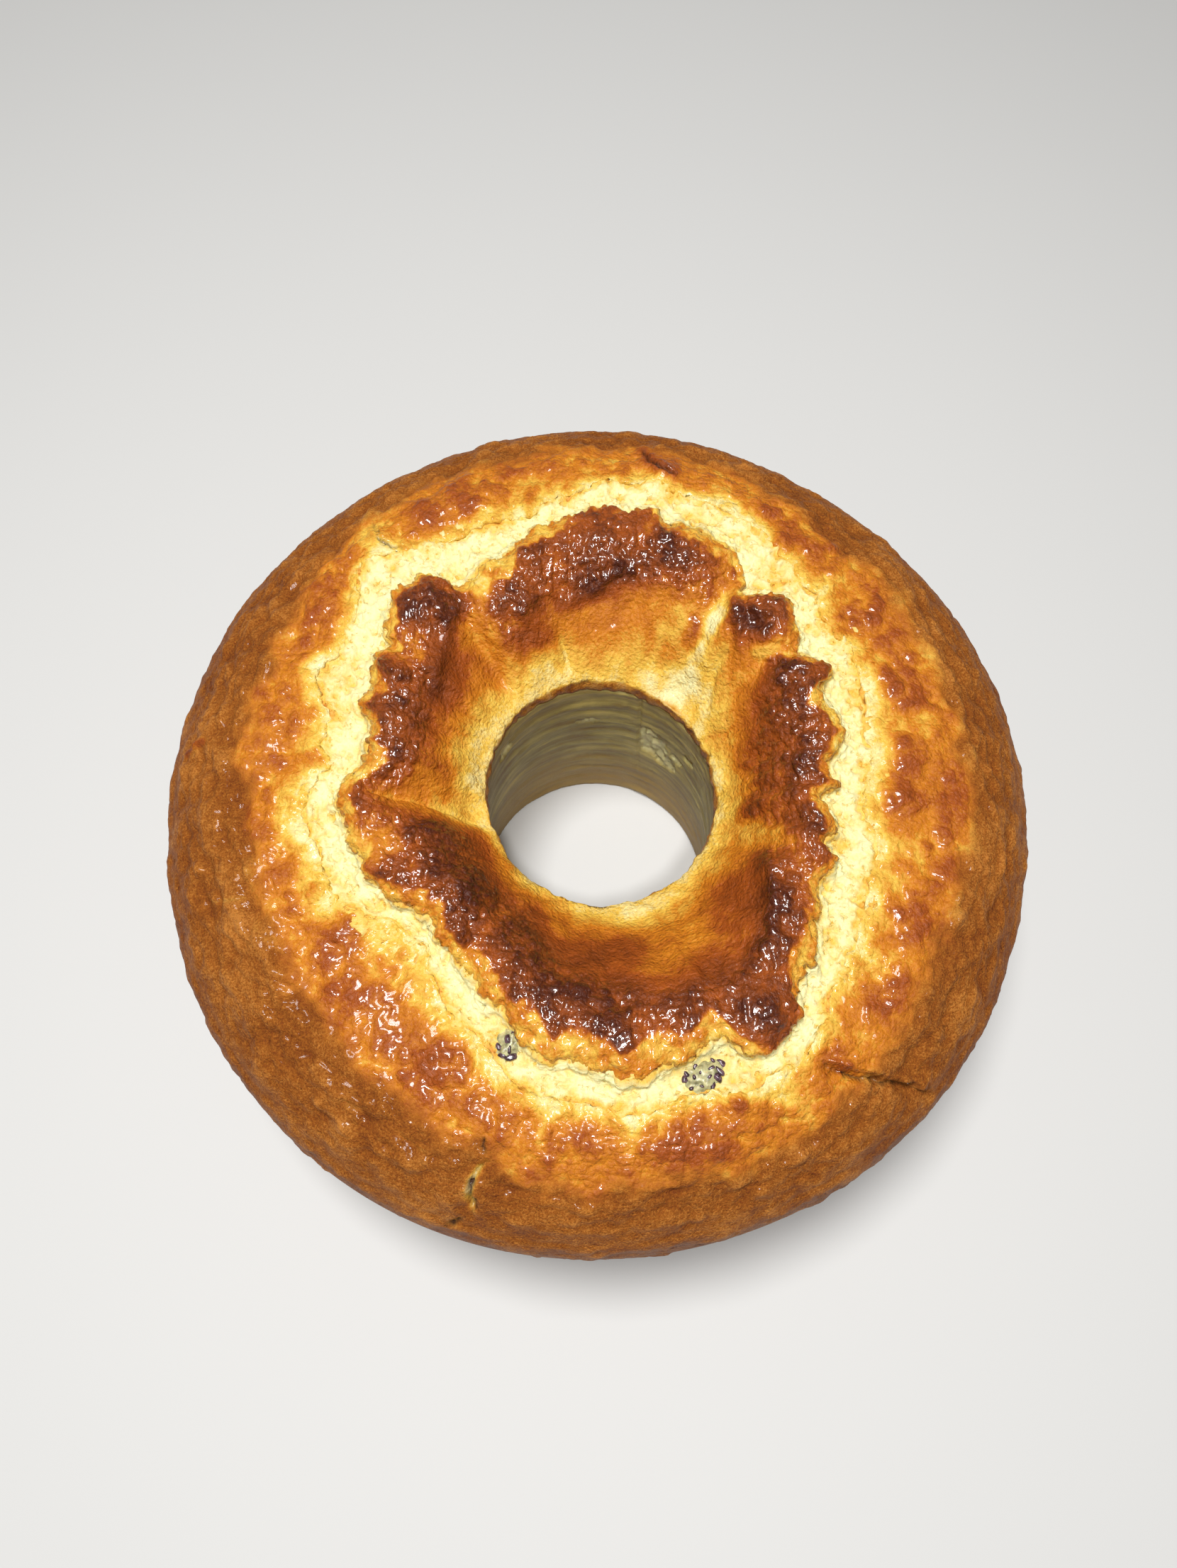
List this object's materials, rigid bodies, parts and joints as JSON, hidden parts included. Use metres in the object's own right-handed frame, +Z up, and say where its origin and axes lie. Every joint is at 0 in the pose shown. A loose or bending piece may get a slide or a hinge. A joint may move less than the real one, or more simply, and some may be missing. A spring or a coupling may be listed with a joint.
{
  "type": "ring pound cake",
  "caption": "Ring-shaped pound cake from a tube pan, crust side up, with a cracked glossy brown top, a round hole and bits of fruit in the crack.",
  "frame": {"origin": "on the table under the middle of the cake's outline", "axes": "+Z up through the hole, -Y towards the side nearest the camera, +X to the right as the picture shows it"},
  "size_m": [0.249, 0.251, 0.1096],
  "materials": {
    "crust": "baked crust, golden brown with darker glossy ridges and a pale porous crumb in the crack",
    "fruit": "moist grey-green fruit pulp with small dark beads"
  },
  "bodies": {
    "root": {"cake": "crust", "fruit_bit_front": "fruit", "fruit_bit_left": "fruit"}
  },
  "joints": []
}
